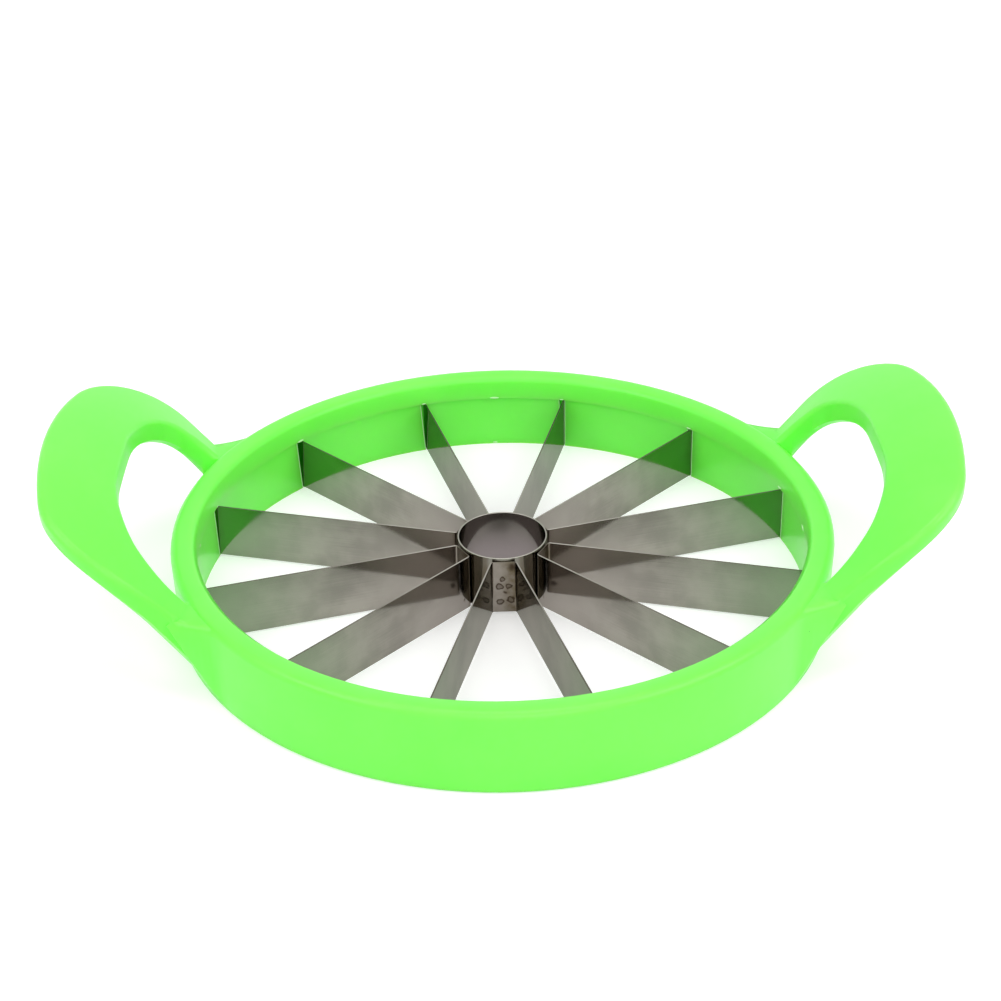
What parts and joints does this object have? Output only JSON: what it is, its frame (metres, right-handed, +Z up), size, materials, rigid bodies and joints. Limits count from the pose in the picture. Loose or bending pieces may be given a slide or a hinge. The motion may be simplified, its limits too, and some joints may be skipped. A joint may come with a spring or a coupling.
{
  "type": "watermelon slicer",
  "caption": "Round plastic frame with two raised loop handles and thin radial steel blades around a steel core tube, pressed down over a melon.",
  "frame": {"origin": "centre of the ring, on the surface that it stands on", "axes": "+Z up, away from the melon; +X and -X through the middles of the two handles; the picture looks along +Y from above"},
  "size_m": [0.376, 0.28, 0.0827],
  "materials": {
    "plastic": "satin translucent green moulding",
    "steel_tube": "rolled sheet, semi-bright",
    "steel_blade": "rolled sheet, semi-bright, lightly scratched"
  },
  "bodies": {
    "root": {"frame": "plastic", "core_tube": "steel_tube", "blade_strip_1": "steel_blade", "blade_strip_2": "steel_blade", "blade_strip_3": "steel_blade", "blade_strip_4": "steel_blade", "blade_strip_5": "steel_blade", "blade_strip_6": "steel_blade"}
  },
  "joints": []
}
